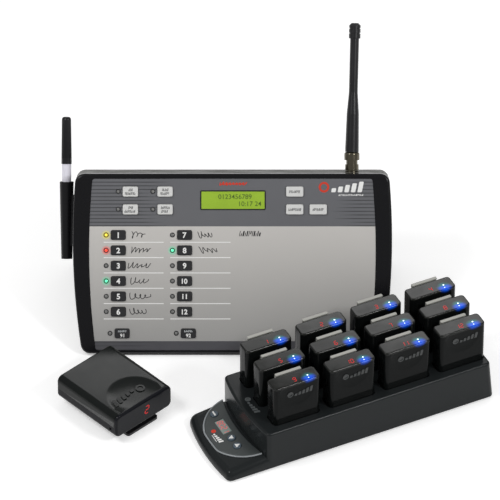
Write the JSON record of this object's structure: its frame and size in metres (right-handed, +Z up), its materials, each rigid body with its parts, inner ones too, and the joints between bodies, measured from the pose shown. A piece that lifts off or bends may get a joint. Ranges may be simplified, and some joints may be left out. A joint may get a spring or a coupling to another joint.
{
  "type": "guest pager system",
  "caption": "Desk paging console with sloped keypad face, display, whip antenna and marker holder, beside a charging rack of docked pagers and one pager lying on its clip.",
  "frame": {"origin": "middle of the console's front rubber foot strip, on the table", "axes": "+Z up, +X to the right of somebody who faces the console, +Y away from them"},
  "size_m": [0.4397, 0.4101, 0.2651],
  "materials": {
    "rear_shell_grey": "fine textured moulded plastic",
    "bezel_black": "polished black moulding",
    "face_plate": "printed film, satin",
    "header_key_grey": "satin light grey rubber keys",
    "number_key_black": "satin black keys",
    "display_green": "backlit yellow-green display in a black frame",
    "board_green": "solder-masked board with parts",
    "lamp_lens": "small round lamps",
    "nickel": "nickel plated, turned",
    "whip_rubber": "smooth matte rubber",
    "holder_black": "satin black plastic",
    "marker_white": "glossy white pen barrel",
    "marker_cap_black": "ribbed black cap",
    "foot_rubber": "soft rubber feet",
    "screw_steel": "zinc plated screws",
    "rack_charcoal": "fine textured charcoal moulding",
    "panel_grey": "satin dark grey panel",
    "readout_window": "smoked display window",
    "round_key_grey": "satin round keys",
    "pager_gloss": "glossy black shells, smoked lens and light grey clip",
    "sample_gloss": "glossy black front shell",
    "sample_matte": "matte dark grey rear shell",
    "sample_smoke": "smoked lens",
    "clip_grey": "springy dark clip"
  },
  "bodies": {
    "pager_set": {"console_rear_shell": "rear_shell_grey", "console_front_bezel": "bezel_black", "console_overlay": "face_plate", "display_module": "display_green", "main_board": "board_green", "status_leds": "lamp_lens", "antenna_jack": "nickel", "marker_holder": "holder_black", "rubber_feet": "foot_rubber", "case_screws": "screw_steel", "rack_housing": "rack_charcoal", "rack_base_plate": "rack_charcoal", "rack_board": "board_green", "rack_panel": "panel_grey", "rack_display": "readout_window"},
    "antenna": {"antenna_whip": "whip_rubber"},
    "bayonet_nut": {"antenna_nut": "nickel"},
    "marker": {"marker_barrel": "marker_white"},
    "cap": {"marker_cap": "marker_cap_black"},
    "sample_pager": {"sample_front_shell": "sample_gloss", "sample_rear_shell": "sample_matte", "sample_lens": "sample_smoke", "sample_board": "board_green"},
    "belt_clip": {"sample_belt_clip": "clip_grey"},
    "header_key_1_cap": {"header_key_1": "header_key_grey"},
    "header_key_2_cap": {"header_key_2": "header_key_grey"},
    "header_key_3_cap": {"header_key_3": "header_key_grey"},
    "header_key_4_cap": {"header_key_4": "header_key_grey"},
    "header_key_5_cap": {"header_key_5": "header_key_grey"},
    "header_key_6_cap": {"header_key_6": "header_key_grey"},
    "header_key_7_cap": {"header_key_7": "header_key_grey"},
    "key_01_cap": {"key_01": "number_key_black"},
    "key_02_cap": {"key_02": "number_key_black"},
    "key_03_cap": {"key_03": "number_key_black"},
    "key_04_cap": {"key_04": "number_key_black"},
    "key_05_cap": {"key_05": "number_key_black"},
    "key_06_cap": {"key_06": "number_key_black"},
    "key_07_cap": {"key_07": "number_key_black"},
    "key_08_cap": {"key_08": "number_key_black"},
    "key_09_cap": {"key_09": "number_key_black"},
    "key_10_cap": {"key_10": "number_key_black"},
    "key_11_cap": {"key_11": "number_key_black"},
    "key_12_cap": {"key_12": "number_key_black"},
    "key_91_cap": {"key_91": "number_key_black"},
    "key_92_cap": {"key_92": "number_key_black"},
    "round_key_dash_cap": {"round_key_dash": "round_key_grey"},
    "round_key_up_cap": {"round_key_up": "round_key_grey"},
    "round_key_down_cap": {"round_key_down": "round_key_grey"},
    "docked_pager_01_body": {"docked_pager_01": "pager_gloss"},
    "docked_pager_02_body": {"docked_pager_02": "pager_gloss"},
    "docked_pager_03_body": {"docked_pager_03": "pager_gloss"},
    "docked_pager_04_body": {"docked_pager_04": "pager_gloss"},
    "docked_pager_05_body": {"docked_pager_05": "pager_gloss"},
    "docked_pager_06_body": {"docked_pager_06": "pager_gloss"},
    "docked_pager_07_body": {"docked_pager_07": "pager_gloss"},
    "docked_pager_08_body": {"docked_pager_08": "pager_gloss"},
    "docked_pager_09_body": {"docked_pager_09": "pager_gloss"},
    "docked_pager_10_body": {"docked_pager_10": "pager_gloss"},
    "docked_pager_11_body": {"docked_pager_11": "pager_gloss"},
    "docked_pager_12_body": {"docked_pager_12": "pager_gloss"}
  },
  "joints": [
    {"name": "header_key_1_press", "type": "slide", "parent": "pager_set", "child": "header_key_1_cap", "axis": [0, 0.8192, -0.5736], "range_m": [0, 0.0008], "stiffness_N_per_m": 300},
    {"name": "header_key_2_press", "type": "slide", "parent": "pager_set", "child": "header_key_2_cap", "axis": [0, 0.8192, -0.5736], "range_m": [0, 0.0008], "stiffness_N_per_m": 300},
    {"name": "header_key_3_press", "type": "slide", "parent": "pager_set", "child": "header_key_3_cap", "axis": [0, 0.8192, -0.5736], "range_m": [0, 0.0008], "stiffness_N_per_m": 300},
    {"name": "header_key_4_press", "type": "slide", "parent": "pager_set", "child": "header_key_4_cap", "axis": [0, 0.8192, -0.5736], "range_m": [0, 0.0008], "stiffness_N_per_m": 300},
    {"name": "header_key_5_press", "type": "slide", "parent": "pager_set", "child": "header_key_5_cap", "axis": [0, 0.8192, -0.5736], "range_m": [0, 0.0008], "stiffness_N_per_m": 300},
    {"name": "header_key_6_press", "type": "slide", "parent": "pager_set", "child": "header_key_6_cap", "axis": [0, 0.8192, -0.5736], "range_m": [0, 0.0008], "stiffness_N_per_m": 300},
    {"name": "header_key_7_press", "type": "slide", "parent": "pager_set", "child": "header_key_7_cap", "axis": [0, 0.8192, -0.5736], "range_m": [0, 0.0008], "stiffness_N_per_m": 300},
    {"name": "key_01_press", "type": "slide", "parent": "pager_set", "child": "key_01_cap", "axis": [0, 0.8192, -0.5736], "range_m": [0, 0.0008], "stiffness_N_per_m": 300},
    {"name": "key_02_press", "type": "slide", "parent": "pager_set", "child": "key_02_cap", "axis": [0, 0.8192, -0.5736], "range_m": [0, 0.0008], "stiffness_N_per_m": 300},
    {"name": "key_03_press", "type": "slide", "parent": "pager_set", "child": "key_03_cap", "axis": [0, 0.8192, -0.5736], "range_m": [0, 0.0008], "stiffness_N_per_m": 300},
    {"name": "key_04_press", "type": "slide", "parent": "pager_set", "child": "key_04_cap", "axis": [0, 0.8192, -0.5736], "range_m": [0, 0.0008], "stiffness_N_per_m": 300},
    {"name": "key_05_press", "type": "slide", "parent": "pager_set", "child": "key_05_cap", "axis": [0, 0.8192, -0.5736], "range_m": [0, 0.0008], "stiffness_N_per_m": 300},
    {"name": "key_06_press", "type": "slide", "parent": "pager_set", "child": "key_06_cap", "axis": [0, 0.8192, -0.5736], "range_m": [0, 0.0008], "stiffness_N_per_m": 300},
    {"name": "key_07_press", "type": "slide", "parent": "pager_set", "child": "key_07_cap", "axis": [0, 0.8192, -0.5736], "range_m": [0, 0.0008], "stiffness_N_per_m": 300},
    {"name": "key_08_press", "type": "slide", "parent": "pager_set", "child": "key_08_cap", "axis": [0, 0.8192, -0.5736], "range_m": [0, 0.0008], "stiffness_N_per_m": 300},
    {"name": "key_09_press", "type": "slide", "parent": "pager_set", "child": "key_09_cap", "axis": [0, 0.8192, -0.5736], "range_m": [0, 0.0008], "stiffness_N_per_m": 300},
    {"name": "key_10_press", "type": "slide", "parent": "pager_set", "child": "key_10_cap", "axis": [0, 0.8192, -0.5736], "range_m": [0, 0.0008], "stiffness_N_per_m": 300},
    {"name": "key_11_press", "type": "slide", "parent": "pager_set", "child": "key_11_cap", "axis": [0, 0.8192, -0.5736], "range_m": [0, 0.0008], "stiffness_N_per_m": 300},
    {"name": "key_12_press", "type": "slide", "parent": "pager_set", "child": "key_12_cap", "axis": [0, 0.8192, -0.5736], "range_m": [0, 0.0008], "stiffness_N_per_m": 300},
    {"name": "key_91_press", "type": "slide", "parent": "pager_set", "child": "key_91_cap", "axis": [0, 0.8192, -0.5736], "range_m": [0, 0.0008], "stiffness_N_per_m": 300},
    {"name": "key_92_press", "type": "slide", "parent": "pager_set", "child": "key_92_cap", "axis": [0, 0.8192, -0.5736], "range_m": [0, 0.0008], "stiffness_N_per_m": 300},
    {"name": "round_key_dash_press", "type": "slide", "parent": "pager_set", "child": "round_key_dash_cap", "axis": [0.1127, 0.055, -0.9921], "range_m": [0, 0.0008], "stiffness_N_per_m": 300},
    {"name": "round_key_up_press", "type": "slide", "parent": "pager_set", "child": "round_key_up_cap", "axis": [0.1127, 0.055, -0.9921], "range_m": [0, 0.0008], "stiffness_N_per_m": 300},
    {"name": "round_key_down_press", "type": "slide", "parent": "pager_set", "child": "round_key_down_cap", "axis": [0.1127, 0.055, -0.9921], "range_m": [0, 0.0008], "stiffness_N_per_m": 300},
    {"name": "docked_pager_01_lift", "type": "slide", "parent": "pager_set", "child": "docked_pager_01_body", "axis": [0, 0, 1], "range_m": [0, 0.03]},
    {"name": "docked_pager_02_lift", "type": "slide", "parent": "pager_set", "child": "docked_pager_02_body", "axis": [0, 0, 1], "range_m": [0, 0.03]},
    {"name": "docked_pager_03_lift", "type": "slide", "parent": "pager_set", "child": "docked_pager_03_body", "axis": [0, 0, 1], "range_m": [0, 0.03]},
    {"name": "docked_pager_04_lift", "type": "slide", "parent": "pager_set", "child": "docked_pager_04_body", "axis": [0, 0, 1], "range_m": [0, 0.03]},
    {"name": "docked_pager_05_lift", "type": "slide", "parent": "pager_set", "child": "docked_pager_05_body", "axis": [0, 0, 1], "range_m": [0, 0.03]},
    {"name": "docked_pager_06_lift", "type": "slide", "parent": "pager_set", "child": "docked_pager_06_body", "axis": [0, 0, 1], "range_m": [0, 0.03]},
    {"name": "docked_pager_07_lift", "type": "slide", "parent": "pager_set", "child": "docked_pager_07_body", "axis": [0, 0, 1], "range_m": [0, 0.03]},
    {"name": "docked_pager_08_lift", "type": "slide", "parent": "pager_set", "child": "docked_pager_08_body", "axis": [0, 0, 1], "range_m": [0, 0.03]},
    {"name": "docked_pager_09_lift", "type": "slide", "parent": "pager_set", "child": "docked_pager_09_body", "axis": [0, 0, 1], "range_m": [0, 0.03]},
    {"name": "docked_pager_10_lift", "type": "slide", "parent": "pager_set", "child": "docked_pager_10_body", "axis": [0, 0, 1], "range_m": [0, 0.03]},
    {"name": "docked_pager_11_lift", "type": "slide", "parent": "pager_set", "child": "docked_pager_11_body", "axis": [0, 0, 1], "range_m": [0, 0.03]},
    {"name": "docked_pager_12_lift", "type": "slide", "parent": "pager_set", "child": "docked_pager_12_body", "axis": [0, 0, 1], "range_m": [0, 0.03]},
    {"name": "antenna_pull", "type": "slide", "parent": "pager_set", "child": "antenna", "axis": [0, 0.5736, 0.8192], "range_m": [0, 0.02]},
    {"name": "bayonet_turn", "type": "hinge", "parent": "antenna", "child": "bayonet_nut", "pos_m": [0.122, 0.12211, 0.13881], "axis": [0, 0.5736, 0.8192], "range_deg": [0, 90]},
    {"name": "marker_pull", "type": "slide", "parent": "pager_set", "child": "marker", "axis": [0, 0.5736, 0.8192], "range_m": [0, 0.085]},
    {"name": "cap_pull", "type": "slide", "parent": "marker", "child": "cap", "axis": [0, 0.5736, 0.8192], "range_m": [0, 0.035]},
    {"name": "sample_lift", "type": "slide", "parent": "pager_set", "child": "sample_pager", "axis": [0, 0, 1], "range_m": [0, 0.05]},
    {"name": "clip_open", "type": "hinge", "parent": "sample_pager", "child": "belt_clip", "pos_m": [-0.09851, -0.10559, 0.00456], "axis": [-0.7254, -0.6884, 0], "range_deg": [0, 9], "stiffness_Nm_per_rad": 0.4}
  ]
}
